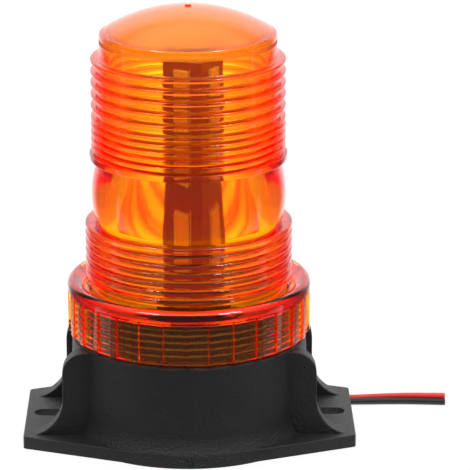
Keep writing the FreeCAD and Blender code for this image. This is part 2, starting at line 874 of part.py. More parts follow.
def build():
    os.makedirs("parts", exist_ok=True)
    save("base_housing", base_housing())
    save("bottom_cover", bottom_cover())
    save("cover_screws", Part.makeCompound(ring_of(cover_screw, *cover_pillars)))
    save("cable_grommet", cable_grommet())
    save("lead_black", tube(black_lead_route, grommet_outer_x, "lead_black"))
    save("lead_red", tube(red_lead_route, grommet_outer_x, "lead_red"))
    save("inner_lead_black", tube(up_to_board(inner_black_route), grommet_inner_x, "inner_lead_black"))
    save("inner_lead_red", tube(up_to_board(inner_red_route), grommet_inner_x, "inner_lead_red"))
    save("driver_board", driver_board())
    board_screws = ring_of(lambda x, y: pan_screw(x, y, board_low, board_screw_length, True), *board_posts)
    save("board_screws", Part.makeCompound(board_screws))
    save("filter_capacitor", filter_capacitor())
    save("power_inductor", power_inductor())
    save("driver_chip", driver_chip())
    save("rectifier_diodes", rectifier_diodes())
    save("chip_resistors", chip_resistors())
    save("pin_header", pin_header())
    save("tower_socket", tower_socket())
    save("socket_screws", socket_screws())
    save("tower_core", tower_core())
    for side, turn in (("front", 0), ("right", 90), ("back", 180), ("left", 270)):
        save("led_board_" + side, side_board(turn))
        save("leds_" + side, side_leds(turn))
    save("top_board", top_board())
    save("top_leds", top_leds())
    save("lens_seal", lens_seal())
    save("lens", lens())


build()
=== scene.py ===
# %% [markdown]
# # An amber strobe light, cell by cell
#
# The real object is a warning beacon: a clear amber lens with fins, moulded in one piece, screws on a black
# base that is bolted down by two slotted ears. Inside stands a square tower of LEDs. This file dresses the
# exact model of it. The camera and the two leads come first, then the lens, which carries the whole look,
# and then every finish. Nearly all that the eye sees here is light that has passed through plastic, so the
# lens is built as real walls with real thickness and its colour comes from absorption inside them.

# %% Load the exact model
import bpy
import math
from mathutils import Matrix, Vector


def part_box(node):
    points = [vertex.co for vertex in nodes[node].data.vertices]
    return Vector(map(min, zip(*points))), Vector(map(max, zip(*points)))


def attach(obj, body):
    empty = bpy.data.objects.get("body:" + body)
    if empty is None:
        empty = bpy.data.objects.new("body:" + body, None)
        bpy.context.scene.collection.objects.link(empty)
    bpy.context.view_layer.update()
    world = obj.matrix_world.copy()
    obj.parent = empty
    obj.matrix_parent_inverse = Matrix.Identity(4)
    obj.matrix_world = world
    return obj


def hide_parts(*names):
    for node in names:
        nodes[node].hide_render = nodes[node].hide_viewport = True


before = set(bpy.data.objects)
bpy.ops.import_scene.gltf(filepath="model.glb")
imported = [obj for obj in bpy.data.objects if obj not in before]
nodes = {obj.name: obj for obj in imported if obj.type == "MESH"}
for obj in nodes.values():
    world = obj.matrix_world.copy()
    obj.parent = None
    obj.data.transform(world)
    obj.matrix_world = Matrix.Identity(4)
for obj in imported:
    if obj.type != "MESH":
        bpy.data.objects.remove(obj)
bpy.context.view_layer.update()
mm = 0.001

# %% [markdown]
# Five small helpers serve the later cells. Colours are written as sRGB hex values, the way a paint program
# shows them, and the first helper turns them into the linear numbers that light is counted in. The second adds
# a shader node with its settings and links, and the third starts a material with its surface shader. The last
# two give a pattern's scale from its real size, and put a finish on parts of the exact model. A Mix node has
# several sockets called A and B, so they go by number: 2 and 3 for plain values, 6 and 7 for colours.

# %% Helpers for colours, nodes and materials
def colour(hex_value):
    """Linear colour, with full alpha, from an sRGB hex value."""
    channels = [int(hex_value[i:i + 2], 16) / 255 for i in (1, 3, 5)]
    linear = [c / 12.92 if c <= 0.04045 else ((c + 0.055) / 1.055) ** 2.4 for c in channels]
    return (*linear, 1.0)


def add(tree, kind, inputs=None, **settings):
    """Add a node. An input given as a socket is linked, and any other value is set."""
    node = tree.nodes.new(kind)
    for key, value in settings.items():
        setattr(node, key, value)
    for key, value in (inputs or {}).items():
        if isinstance(value, bpy.types.NodeSocket):
            tree.links.new(value, node.inputs[key])
        else:
            node.inputs[key].default_value = value
    return node


def start_material(name, **surface):
    """New material whose surface shader has the given values. Gives its tree and shader."""
    material = bpy.data.materials.new(name)
    material.use_nodes = True
    tree = material.node_tree
    tree.nodes.clear()
    shader = add(tree, "ShaderNodeBsdfPrincipled", surface)
    add(tree, "ShaderNodeOutputMaterial", {"Surface": shader.outputs[0]})
    return material, tree, shader


def grains(size):
    """Noise scale, in features per metre, of a grain whose size is given in millimetres."""
    return 1 / (size * mm)


def wear(node_names, material):
    """Put a material on nodes of the exact model, in place of the plain ones that they came with."""
    for name in node_names:
        for slot in nodes[name].material_slots:
            slot.material = material


white = colour("#ffffff")
print("white is", white)

# %% [markdown]
# The photograph was taken from straight in front, 17 degrees above the table, with a long lens: the ellipses
# of the fins hardly change from top to bottom. The camera below stands where those ellipses put it. The
# object isn't in the middle of the picture, so the camera is turned a little to the right, and no lens shift
# is needed. It is also rolled by a quarter of a degree, as the photograph is.

# %% Camera
picture_width = 470
focal_pixels = 2903
camera_distance = 831.9 * mm
camera_height_angle = math.radians(17.05)
aim_height = 57.41 * mm
axis_pixel = 188.88
camera_roll = -0.0044

aside = math.atan((picture_width / 2 - axis_pixel) / focal_pixels)
forward = Vector((0, math.cos(camera_height_angle), -math.sin(camera_height_angle)))
up = Vector((0, math.sin(camera_height_angle), math.cos(camera_height_angle)))
right = Vector((1, 0, 0))
place = Vector((0, 0, aim_height)) - forward * camera_distance
look = forward * math.cos(aside) + right * math.sin(aside)
side = right * math.cos(aside) - forward * math.sin(aside)
turn = Matrix((side, up, -look)).transposed()
camera_data = bpy.data.cameras.new("camera")
camera_data.sensor_width = 36
camera_data.lens = focal_pixels / picture_width * camera_data.sensor_width
camera_data.clip_start = 0.05
camera = bpy.data.objects.new("camera", camera_data)
bpy.context.scene.collection.objects.link(camera)
camera.matrix_world = Matrix.Translation(place) @ turn.to_4x4() @ Matrix.Rotation(camera_roll, 4, "Z")
bpy.context.scene.camera = camera
print("camera at", [round(v, 4) for v in place], "lens", round(camera_data.lens, 1), "mm")

# %% [markdown]
# Two leads leave under the right ear, side by side, red behind black. Each is a real wire of 2 mm over its
# insulation, cut off square about 28 mm beyond the ear, as the photograph shows. Their routes are the
# control points of a smooth NURBS line, in millimetres, counted along X from the grommet's outer face. The
# wire's radius is given to the points, with a bevel of 1 that takes it as it is. A curve is more often made
# the other way round, but then its points keep a radius of one metre and its measured box is that much too
# large.

# %% Leads
lead_diameter = 2.0 * mm
grommet_face = 35.0 * mm
black_route = [(0.0, 14.2, 1.15), (8.0, 14.2, 1.15), (16.0, 14.6, 1.05),
               (24.0, 14.85, 1.02), (32.0, 14.7, 1.02), (40.9, 13.86, 1.02)]
red_route = [(0.0, 16.27, 1.35), (8.0, 16.27, 1.35), (16.0, 16.62, 1.45),
             (24.0, 16.82, 1.76), (32.0, 16.52, 2.02), (40.9, 15.52, 2.22)]


def lead(name, route, node_name):
    """Wire along a route. Gives it with its last two points, for the copper at its end."""
    curve = bpy.data.curves.new(name, "CURVE")
    curve.dimensions = "3D"
    curve.bevel_depth = 1.0
    curve.bevel_resolution = 6
    curve.resolution_u = 16
    curve.use_fill_caps = True
    spline = curve.splines.new("NURBS")
    spline.points.add(len(route) - 1)
    points = [(grommet_face + x * mm, y * mm, z * mm) for x, y, z in route]
    for point, place in zip(spline.points, points):
        point.co = (*place, 1.0)
        point.radius = lead_diameter / 2
    spline.order_u = 3
    spline.use_endpoint_u = True
    wire = bpy.data.objects.new(name, curve)
    bpy.context.scene.collection.objects.link(wire)
    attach(wire, "base")
    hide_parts(node_name)
    return wire, Vector(points[-2]), Vector(points[-1])


black_wire, black_before, black_end = lead("lead_black_wire", black_route, "lead_black")
red_wire, red_before, red_end = lead("lead_red_wire", red_route, "lead_red")

# %% [markdown]
# At each cut end the copper shows: seven fine strands, six round one, a hair proud of the insulation. They
# are one small mesh per lead, made of short round rods whose rims are broken, because a sharp rim catches no
# light.

# %% Copper strands
strand_count = 7
strand_radius = 0.2 * mm
strand_circle = 0.42 * mm
strand_proud = 0.12 * mm
strand_depth = 1.5 * mm


def new_piece(name, verts, faces, body, slot, sharp=35):
    """Mesh piece from points in metres, smooth-shaded except over edges sharper than the angle."""
    mesh = bpy.data.meshes.new(name)
    mesh.from_pydata(verts, [], faces)
    mesh.update()
    mesh.shade_smooth()
    mesh.set_sharp_from_angle(angle=math.radians(sharp))
    piece = bpy.data.objects.new(name, mesh)
    bpy.context.scene.collection.objects.link(piece)
    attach(piece, body)
    return piece


def band(low, high, count):
    """Faces between the rings numbered low and high, when every ring has the same count of points."""
    pairs = [(i, (i + 1) % count) for i in range(count)]
    return [[low * count + i, low * count + j, high * count + j, high * count + i] for i, j in pairs]


def rod(start, end, radius, sides=10):
    """Points and faces of a short round rod with slightly rounded ends."""
    axis = (end - start).normalized()
    across = axis.orthogonal().normalized()
    beside = axis.cross(across)
    rim = axis * radius * 0.3
    rings = [(start, 0.8), (start + rim, 1.0), (end - rim, 1.0), (end, 0.8)]
    verts = []
    for centre, share in rings:
        for i in range(sides):
            angle = 2 * math.pi * i / sides
            verts.append(centre + (across * math.cos(angle) + beside * math.sin(angle)) * radius * share)
    faces = [list(range(sides))[::-1], [3 * sides + i for i in range(sides)]]
    for ring in range(3):
        faces += band(ring, ring + 1, sides)
    return verts, faces


def merged(parts):
    """One list of points and one of faces from several parts."""
    verts, faces = [], []
    for part_verts, part_faces in parts:
        base = len(verts)
        verts += [tuple(v) for v in part_verts]
        faces += [[base + i for i in face] for face in part_faces]
    return verts, faces


def strands(name, before, end):
    """Copper of one lead: strands in a circle and one in the middle, along the lead's last run."""
    axis = (end - before).normalized()
    across = axis.orthogonal().normalized()
    beside = axis.cross(across)
    rods = []
    around = strand_count - 1
    for i in range(strand_count):
        angle = 2 * math.pi * i / around
        offset = Vector() if i == around else (across * math.cos(angle) + beside * math.sin(angle)) * strand_circle
        rods.append(rod(end + offset - axis * strand_depth, end + offset + axis * strand_proud, strand_radius))
    return new_piece(name, *merged(rods), "base", "brass_pins")


black_strands = strands("black_lead_strands", black_before, black_end)
red_strands = strands("red_lead_strands", red_before, red_end)
print("strands", strand_count, "in each lead")

# %% [markdown]
# The lens is one moulding, so it is one closed mesh: an outline turned about the axis, out along the collar,
# the fine steps, the smooth belt and the thin fins, over the dome, and back down the inside. The outline is
# a list of corners in millimetres, each with the radius it is rounded to, because moulded edges are never
# sharp and those small rounds catch the white lines of light along the fins.

# %% Outline helpers
longest_cut = 0.45


def rounded(corners, steps=3):
    """Rounds an open outline. A corner is (r, z, round), and the first and last stay where they are.

    A round takes less than half of the sides that meet in its corner, so that two rounds never cross.
    """
    points = [Vector(corners[0][:2])]
    for before, corner, after in zip(corners, corners[1:], corners[2:]):
        here = Vector(corner[:2])
        into = here - Vector(before[:2])
        out = Vector(after[:2]) - here
        turn_angle = into.angle(out) if into.length > 1e-9 and out.length > 1e-9 else 0
        radius = corner[2]
        if radius <= 0 or turn_angle < 1e-3:
            points.append(here)
            continue
        cut = min(radius * math.tan(turn_angle / 2), longest_cut * into.length, longest_cut * out.length)
        start = here - into.normalized() * cut
        end = here + out.normalized() * cut
        for i in range(steps + 1):
            t = i / steps
            points.append(start * (1 - t) ** 2 + here * 2 * t * (1 - t) + end * t ** 2)
    points.append(Vector(corners[-1][:2]))
    return points


def arc(centre_r, centre_z, radius, start, end, count):
    """Corners along an arc about a centre, between two angles in degrees."""
    corners = []
    for i in range(count + 1):
        angle = math.radians(start + (end - start) * i / count)
        corners.append((centre_r + radius * math.cos(angle), centre_z + radius * math.sin(angle), 0))
    return corners


def straight(start, end, count):
    """Corners along a straight line between two places (r, z), as rows that a thread or a wave can follow."""
    (start_r, start_z), (end_r, end_z) = start, end
    shares = [i / count for i in range(count + 1)]
    return [(start_r + (end_r - start_r) * t, start_z * (1 - t) + end_z * t, 0) for t in shares]


print("a rounded corner becomes", len(rounded([(0, 0, 0), (1, 0, 0.2), (1, 1, 0)])) - 2, "points")

# %% [markdown]
# The sizes come from the exact model where it can be asked: the lens's height and radius, and the seat on the
# seal. The others were measured in the photograph, fin by fin. All are millimetres, and heights are counted
# upwards from the seat: the two stacks of fins have their own pitches, and the belt lies between them.

# %% Lens sizes
lens_low, lens_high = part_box("lens")
neck_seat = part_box("lens_seal")[1][2] / mm
collar_low = lens_low[2] / mm
lens_top = lens_high[2] / mm
rib_radius = lens_high[0] / mm
wall = 2.3

# Collar: grip ribs with flats between them, the round shoulder, and the groove behind its lip
facet_radius = 34.1
collar_bore = 31.7
collar_chamfer = 0.5
groove_floor = neck_seat + 2.2
crest_z = groove_floor + 2.5
shoulder = 1.9
shoulder_end = 95
facet_top = crest_z - 3.2
lip = 29.3
rib_count = 30
rib_angle = 3.0     # degrees, as the next one is
first_rib = 87.0

# Barrel, and the lower stack of seven fine steps
barrel = 25.8
low_wall = barrel + 1.5
ring_root = barrel + 2.6
ring_edge = barrel + 3.8
ring_pitch = 2.53
ring_rim = 1.5
ring_slope = 0.9
ring_count = 7
first_ring = groove_floor + 4.17 - ring_rim
stack_top = first_ring + ring_rim + (ring_count - 1) * ring_pitch

# Belt, one wide arc
belt_radius = 26.8
belt_bulge = 1.9
belt_crest = stack_top + 8.25
belt_top = stack_top + 18.55

# Upper stack: a thick ring, four fins close together and six further apart
last_ring = barrel + 2.3
last_ring_top = belt_top + 1.9
fin_edge = barrel + 1.8
fin_rim = 0.7
fin_swell = 0.75
fin_foot = 0.35
fine_pitch = 2.14
wide_pitch = 3.3
fine_fins = [last_ring_top + fine_pitch * (i + 1) for i in range(4)]
wide_fins = [last_ring_top + fine_pitch * 5 + wide_pitch * i for i in range(6)]
fins_top = wide_fins[-1]

# Cap: plain neck, round edge and dome, with a gate mark on top: a low ring round a pit, as (radius, drop)
cap_radius = 25.1
cap_round = 1.1
cap_rim = fins_top + 7.0
dome_rise = 7.5
dome_top = cap_rim + dome_rise
dome_sphere = (cap_radius ** 2 + dome_rise ** 2) / (2 * dome_rise)
dome_centre = dome_top - dome_sphere
pip_foot = 0.95
pip_corners = [(0.9, 0.12), (0.75, 0), (0.5, 0), (0.42, 0.25), (0.25, 0.25)]
print("lens", round(collar_low, 2), "to", round(lens_top, 2), "mm, dome top", round(dome_top, 2))

# %% Outer side of the lens
ring_round = 0.6
root_round = 0.4
last_ring_round = 0.33
fin_round = 0.43
foot_round = 0.3


def belt_arc(count):
    """The belt is an arc through its lower edge, its crest and its upper edge."""
    low = math.degrees(math.asin((stack_top - belt_crest) / belt_radius))
    high = math.degrees(math.asin((belt_top - belt_crest) / belt_radius))
    return arc(barrel + belt_bulge - belt_radius, belt_crest, belt_radius, low, high, count)


def outer_corners():
    """Outer side, from the collar's foot up to the middle of the dome."""
    corners = [(facet_radius - collar_chamfer, collar_low, 0),
               (rib_radius - collar_chamfer / 2, collar_low + collar_chamfer, 0.1),
               (rib_radius, collar_low + 2 * collar_chamfer, 0.1)]
    # Two rows lie close together where the flats end, so that their upper edge stays crisp
    corners += [(rib_radius, z, 0) for z in (facet_top - 0.12, facet_top + 0.02)]
    corners += arc(rib_radius - shoulder, crest_z - shoulder, shoulder, 0, shoulder_end, 14)
    corners += [(lip + 0.4, groove_floor + 1.0, 0.6), (lip, groove_floor + 0.6, 0.3),
                (lip - 0.15, groove_floor, 0.4), (low_wall, groove_floor, 0.4)]
    corners.append((low_wall, first_ring - ring_slope, 0.3))
    for i in range(ring_count):
        low = first_ring + i * ring_pitch
        if i > 0:
            corners.append((ring_root, low - (ring_pitch - ring_rim) / 2, root_round))
        corners += [(ring_edge, low, ring_round), (ring_edge, low + ring_rim, ring_round)]
    corners += belt_arc(22)
    corners += [(last_ring, belt_top, last_ring_round), (last_ring, last_ring_top, last_ring_round),
                (barrel, last_ring_top + fin_foot, foot_round)]
    for top in fine_fins + wide_fins:
        corners += [(barrel, top - fin_rim - fin_swell, ring_round), (fin_edge, top - fin_rim - 0.1, fin_round),
                    (fin_edge, top, fin_round), (barrel, top + fin_foot, root_round)]
    # The highest fin ends on the cap's plain neck, which is a little narrower than the barrel
    corners[-1] = (cap_radius, fins_top, 0.35)
    corner_r = cap_radius - cap_round
    corner_z = dome_centre + math.sqrt((dome_sphere - cap_round) ** 2 - corner_r ** 2)
    lean = math.degrees(math.atan2(corner_z - dome_centre, corner_r))
    mark = math.degrees(math.acos(pip_foot / dome_sphere))
    corners += arc(corner_r, corner_z, cap_round, 0, lean, 8)
    corners += arc(0, dome_centre, dome_sphere, lean, mark, 26)
    corners += [(r, lens_top - drop, 0.05) for r, drop in pip_corners]
    return corners


print("outer side", len(rounded(outer_corners())), "points")

# %% [markdown]
# Inside, the mould's core had to slide out downwards, so the hollow only widens from the dome to the mouth: in
# two straight tapers down to the steps, then a wider bore, a seat that rests on the seal, and the collar's
# bore with its thread. The straight stretches get many rows, because the flow waves and the thread bend them.

# %% Inner side of the lens
bore_top = cap_radius - wall
bore_middle = 23.5
bore_belt = 24.4
bore_low = 26.0
taper_rows = 14
thread_pitch = 2.0
thread_depth = 0.22
thread_rows = 83


def inner_corners():
    """Inner side, from the middle of the dome down to the collar's mouth."""
    sphere = dome_sphere - wall
    low = math.degrees(math.acos((bore_top - 1.0) / sphere))
    corners = arc(0, dome_centre, sphere, 89.2, low, 16)
    corners += [(bore_top, cap_rim - wall, 0.8)]
    corners += straight((bore_top, cap_rim - wall - 2), (bore_middle, belt_top), taper_rows)
    corners += straight((bore_middle, belt_top), (bore_belt, stack_top), taper_rows)[1:]
    corners += [(bore_low, stack_top - wall, 0.8)]
    # Plain rows 4 mm apart, because faces as long as this whole bore would be thin slivers
    corners += [(bore_low, z, 0) for z in (56.0, 52.0, 48.0, 44.0)]
    corners += [(bore_low, neck_seat, 0.3), (collar_bore + 0.2, neck_seat, 0.3)]
    corners += straight((collar_bore, neck_seat - 0.4), (collar_bore, collar_low + 0.3), thread_rows)
    corners += [(collar_bore + 0.3, collar_low, 0.1)]
    return corners


print("inner side", len(rounded(inner_corners())), "points")

# %% [markdown]
# The outline is turned about the axis in some 370 columns. They aren't evenly spaced: they sit closer at the
# sides of each grip rib, so that the 30 flats between the ribs get crisp edges. Where a row lies in the band
# of the flats, its radius is pulled in to the flat, which is 34.1 mm from the axis at its middle. In the bore
# of the collar the radius follows a screw thread of 2 mm pitch. On the wall inside, a very faint waviness
# stands for the flow of the plastic, which draws the wood-grain streaks that are seen through the belt. At
# front and back a hair-thin line is left by the joint of the mould's two halves.

# %% Lens columns
sector = 360 / rib_count
rib_steps = [0.0, 0.3, 1.5, 2.7, 3.0]
flat_steps = [3.12, 4.2, 5.6, 7.5, 9.4, 10.8, 11.88]
parting_angle = 270.7
parting_steps = [-0.5, -0.14, -0.06, 0.06, 0.14, 0.5]


def lens_columns():
    """Angles of the columns in degrees."""
    angles = set()
    for i in range(rib_count):
        for step in rib_steps + flat_steps:
            angles.add(round((first_rib + i * sector + step) % 360, 4))
    for middle in (parting_angle, parting_angle - 180):
        for step in parting_steps:
            angles.add(round((middle + step) % 360, 4))
    return sorted(angles)


print(len(lens_columns()), "columns")

# %% Flats, thread and flow waves
def flat_radius(angle):
    """Radius of the collar's side at an angle in degrees: a rib's, or a flat's."""
    within = (angle - first_rib) % sector
    if within <= rib_angle + 0.01:
        return rib_radius
    off_middle = math.radians(within - (rib_angle + sector) / 2)
    return facet_radius / math.cos(off_middle)


def thread_radius(angle, z):
    """Radius of the bore at a place on the thread, whose ridges lie midway between those of the neck."""
    turn = z / thread_pitch - angle / 360
    fade = min(1, max(0, z - collar_low - 0.5)) * min(1, max(0, neck_seat - 0.6 - z))
    return collar_bore + thread_depth / 2 * fade * math.cos(2 * math.pi * turn)


def flow_waves(angle, z):
    """Waviness of the inner wall, in mm: 43 and 89 upright streaks that waver a little with height."""
    a = math.radians(angle)
    waver = 0.5 * math.sin(z / 1.7) + 0.35 * math.sin(z / 0.9 + 1.0)
    broad = 0.004 * math.sin(43 * a + waver + 1.5 * math.sin(5 * a))
    fine = 0.0025 * math.sin(89 * a - 1.4 * waver)
    return broad + fine


rib_foot = flat_radius(first_rib + rib_angle + 0.1)
print("flat", facet_radius, "mm from the axis at its middle,", round(rib_foot, 2), "mm at the foot of a rib")

# %% Lens mesh
foot_top = collar_low + 2 * collar_chamfer
foot_lean = 0.09
parting_height = 0.02
parting_half_width = 0.1


def lens_radius(r, z, angle, outside):
    """Radius of the surface at an angle, where the outline has the radius r at the height z."""
    if outside:
        radius = r
        limit = flat_radius(angle)
        if z < facet_top - 0.05 and limit < rib_radius:
            radius = min(r, limit - max(0, foot_top - z) * foot_lean)
        off = min(abs(angle - parting_angle), abs(angle - parting_angle + 180))
        return radius + parting_height if r > 2 and off < parting_half_width else radius
    if collar_low + 0.2 < z < neck_seat - 0.2:
        return thread_radius(angle, z)
    if stack_top - 2 < z < fins_top and r < bore_low - 0.5:
        return r + flow_waves(angle, z)
    return r


def lens_mesh():
    """Closed mesh: the rows run up the outer side and down the inner one, and a fan closes each at the axis."""
    angles = lens_columns()
    outer = rounded(outer_corners())
    inner = rounded(inner_corners())
    outline_points = [(p, True) for p in outer] + [(p, False) for p in inner]
    verts, faces = [], []
    for (r, z), outside in outline_points:
        for angle in angles:
            radius = lens_radius(r, z, angle, outside)
            a = math.radians(angle)
            verts.append((radius * math.cos(a) * mm, radius * math.sin(a) * mm, z * mm))
    count, rows, outer_rows = len(angles), len(outline_points), len(outer)
    for row in range(rows):
        if row != outer_rows - 1:
            faces += band(row, (row + 1) % rows, count)
    for row, flip in ((outer_rows - 1, False), (outer_rows, True)):
        pole = len(verts)
        verts.append((0, 0, verts[row * count][2]))
        for i in range(count):
            face = [row * count + i, row * count + (i + 1) % count, pole]
            faces.append(face[::-1] if flip else face)
    print("lens grid", rows, "rows by", count, "columns")
    return verts, faces


lens = new_piece("amber_lens", *lens_mesh(), "lens", "amber_lens", sharp=40)
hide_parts("lens")

# %% [markdown]
# The neck of the base carries the matching thread: a ridge that climbs 2 mm each turn. It is swept along a
# helix as a five-sided section that sinks a hair into the neck, and it fades out at both ends.

# %% Thread on the neck
neck_radius = 31.2
neck_thread_height = 0.3
neck_thread_low = collar_low + 1.6
neck_thread_turns = 3.6
steps_per_turn = 120
fade_share = 1 / 18


def neck_thread():
    """Ridge along a helix, from its lower end to its upper one."""
    verts, faces = [], []
    steps = int(neck_thread_turns * steps_per_turn)
    start_turn = neck_thread_low / thread_pitch
    for i in range(steps + 1):
        share = i / steps
        turn = start_turn + neck_thread_turns * share
        height = neck_thread_height * min(1, share / fade_share, (1 - share) / fade_share) + 0.01
        for dr, dz in ((-0.08, -0.7), (0.6 * height, -0.35), (height, 0), (0.6 * height, 0.35), (-0.08, 0.7)):
            a = 2 * math.pi * turn
            r = neck_radius + dr
            verts.append((r * math.cos(a) * mm, r * math.sin(a) * mm, (turn * thread_pitch + dz) * mm))
    for i in range(steps):
        for k in range(5):
            m = (k + 1) % 5
            faces.append([i * 5 + k, (i + 1) * 5 + k, (i + 1) * 5 + m, i * 5 + m])
    faces += [[4, 3, 2, 1, 0], [steps * 5 + k for k in range(5)]]
    return verts, faces


thread = new_piece("neck_thread", *neck_thread(), "base", "black_abs", sharp=30)
print("neck thread", neck_thread_turns, "turns,", neck_thread_height, "mm high")

# %% [markdown]
# A white reflector dish lies on the deck and lines the inside of the neck. It can't be made out through the
# lens, but in the photograph the lowest steps glow orange right down to the groove. Over the bare deck they
# would be backed by black plastic and stay dark.

# %% Reflector dish
dish_corners = [(17.0, 30.62), (28.95, 30.62), (28.95, 39.5), (28.65, 39.5), (28.65, 31.4), (28.1, 30.9),
                (17.0, 30.9)]


def turned(corners, sides=120):
    """Closed ring made by turning an outline about the axis, outside first and then back."""
    verts, faces = [], []
    for r, z in corners:
        for i in range(sides):
            a = 2 * math.pi * i / sides
            verts.append((r * math.cos(a) * mm, r * math.sin(a) * mm, z * mm))
    for row in range(len(corners)):
        faces += band(row, (row + 1) % len(corners), sides)
    return verts, faces


dish = new_piece("reflector_dish", *turned(dish_corners), "base", "led_package", sharp=30)
print("dish", round(2 * max(r for r, z in dish_corners), 1), "mm across")

# %% [markdown]
# The lens is polycarbonate, tinted right through and moulded against a polished tool. What gives it its look
# is depth: a thin rim passes nearly all light and looks peach, a wall of two millimetres turns white light
# orange, and a long way through the stacked steps leaves only red. So the surface itself is colourless and
# the tint is absorption inside the volume: per millimetre it takes about 1% of the red, a fifth of the green
# and two thirds of the blue. Blender takes this as a colour, from which one less each channel is what is
# absorbed, and a density, here once per millimetre.
#
# The polish isn't quite a mirror's, and its haze drifts a little from place to place. The inner face of the
# dome is frosted, because nothing behind it shows sharply in the photograph. Faint sink marks, 6 mm across,
# bend the highlights as on any thick moulding.

# %% Amber polycarbonate
polish = (0.065, 0.085)
frosted = 0.55
haze_size = 9
sink_size = 6
passed = (0.992, 0.775, 0.0, 1)


def amber_polycarbonate():
    material, tree, shader = start_material(
        "amber_polycarbonate", **{"Base Color": white, "Transmission Weight": 1.0, "IOR": 1.58,
                                  "Specular IOR Level": 0.3})
    coords = add(tree, "ShaderNodeTexCoord")
    haze = add(tree, "ShaderNodeTexNoise", {"Vector": coords.outputs["Object"], "Scale": grains(haze_size),
                                            "Detail": 3.0})
    rough = add(tree, "ShaderNodeMapRange", {"Value": haze.outputs["Fac"], "To Min": polish[0], "To Max": polish[1]})
    # The frost lies where a place is nearer to the dome's centre than the middle of its wall, and high enough
    from_centre = add(tree, "ShaderNodeVectorMath", {0: coords.outputs["Object"], 1: (0, 0, dome_centre * mm)},
                      operation="DISTANCE")
    inside = add(tree, "ShaderNodeMath", {0: from_centre.outputs["Value"], 1: (dome_sphere - 1.2) * mm},
                 operation="LESS_THAN")
    height = add(tree, "ShaderNodeSeparateXYZ", {0: coords.outputs["Object"]})
    high = add(tree, "ShaderNodeMath", {0: height.outputs["Z"], 1: (cap_rim - 2.6) * mm}, operation="GREATER_THAN")
    under_dome = add(tree, "ShaderNodeMath", {0: inside.outputs[0], 1: high.outputs[0]}, operation="MULTIPLY")
    frost = add(tree, "ShaderNodeMix", {"Factor": under_dome.outputs[0], 2: rough.outputs[0], 3: frosted})
    tree.links.new(frost.outputs[0], shader.inputs["Roughness"])
    sink = add(tree, "ShaderNodeTexNoise", {"Vector": coords.outputs["Object"], "Scale": grains(sink_size),
                                            "Detail": 2.0})
    bump = add(tree, "ShaderNodeBump", {"Height": sink.outputs["Fac"], "Strength": 0.02, "Distance": 0.2 * mm})
    tree.links.new(bump.outputs[0], shader.inputs["Normal"])
    tint = add(tree, "ShaderNodeVolumeAbsorption", {"Color": passed, "Density": 1 / mm})
    output = next(n for n in tree.nodes if n.type == "OUTPUT_MATERIAL")
    tree.links.new(tint.outputs[0], output.inputs["Volume"])
    return material


lens.data.materials.append(amber_polycarbonate())
print("haze", haze_size, "mm, sink marks", sink_size, "mm")

# %% [markdown]
# Every opaque surface here is built in one way. Noise with the size of the real grain runs from one tone to
# another, moves the roughness between two limits, and raises a slight bump. Where the grain has a direction, as
# on extruded and drawn parts, the noise is drawn out along it.

# %% Grained finishes
def vary(tree, shader, drift, tones, grain, roughness, bump_strength, bump_height):
    """One noise drifts between two tones, and another sets the roughness and the bump, in millimetres."""
    tone = add(tree, "ShaderNodeMix", {"Factor": drift, 6: colour(tones[0]), 7: colour(tones[1])}, data_type="RGBA")
    rough = add(tree, "ShaderNodeMapRange", {"Value": grain, "To Min": roughness[0], "To Max": roughness[1]})
    bump = add(tree, "ShaderNodeBump", {"Height": grain, "Strength": bump_strength, "Distance": bump_height * mm})
    tree.links.new(tone.outputs[2], shader.inputs["Base Color"])
    tree.links.new(rough.outputs[0], shader.inputs["Roughness"])
    tree.links.new(bump.outputs[0], shader.inputs["Normal"])


def grained(name, tones, roughness, grain_size, bump_strength=0.2, bump_height=0.05, stretch=(1, 1, 1), **surface):
    """Material with one even grain, its size in millimetres. A stretch below 1 draws it out along that axis."""
    material, tree, shader = start_material(name, **surface)
    coords = add(tree, "ShaderNodeTexCoord")
    stretched = add(tree, "ShaderNodeMapping", {"Vector": coords.outputs["Object"], "Scale": stretch})
    noise = add(tree, "ShaderNodeTexNoise", {"Vector": stretched.outputs[0], "Scale": grains(grain_size),
                                             "Detail": 3.0})
    grain = noise.outputs["Fac"]
    vary(tree, shader, grain, tones, grain, roughness, bump_strength, bump_height)
    return material


print("a grain of 1 mm has the scale", grains(1))

# %% [markdown]
# The base is ABS coloured black and moulded in a spark-eroded tool. The tool leaves a fine even grain of
# about a quarter of a millimetre, which takes the gloss off: broad faces stay near black, and only surfaces
# seen at a low angle go grey. The grain is drawn three times as coarse so that it shows at this picture size.
# A cloud 14 mm across shifts the black a little, as uneven cooling does.

# %% Black ABS
abs_grain = 0.75
abs_cloud = 14


def black_abs():
    material, tree, shader = start_material("black_abs", IOR=1.53)
    coords = add(tree, "ShaderNodeTexCoord").outputs["Object"]
    grain = add(tree, "ShaderNodeTexNoise", {"Vector": coords, "Scale": grains(abs_grain), "Detail": 5.0,
                                             "Roughness": 0.65})
    cloud = add(tree, "ShaderNodeTexNoise", {"Vector": coords, "Scale": grains(abs_cloud), "Detail": 3.0})
    vary(tree, shader, cloud.outputs["Fac"], ("#111112", "#18181a"), grain.outputs["Fac"], (0.34, 0.58), 1.0, 0.45)
    return material


abs_material = black_abs()
wear(["base_housing", "bottom_cover", "tower_socket"], abs_material)
thread.data.materials.append(abs_material)
print("grain", abs_grain, "mm, cloud", abs_cloud, "mm")

# %% [markdown]
# Soft PVC insulation is extruded, so its surface runs in faint lines along the lead, with a satin shine. The
# lines are noise of a third of a millimetre, drawn out lengthwise.

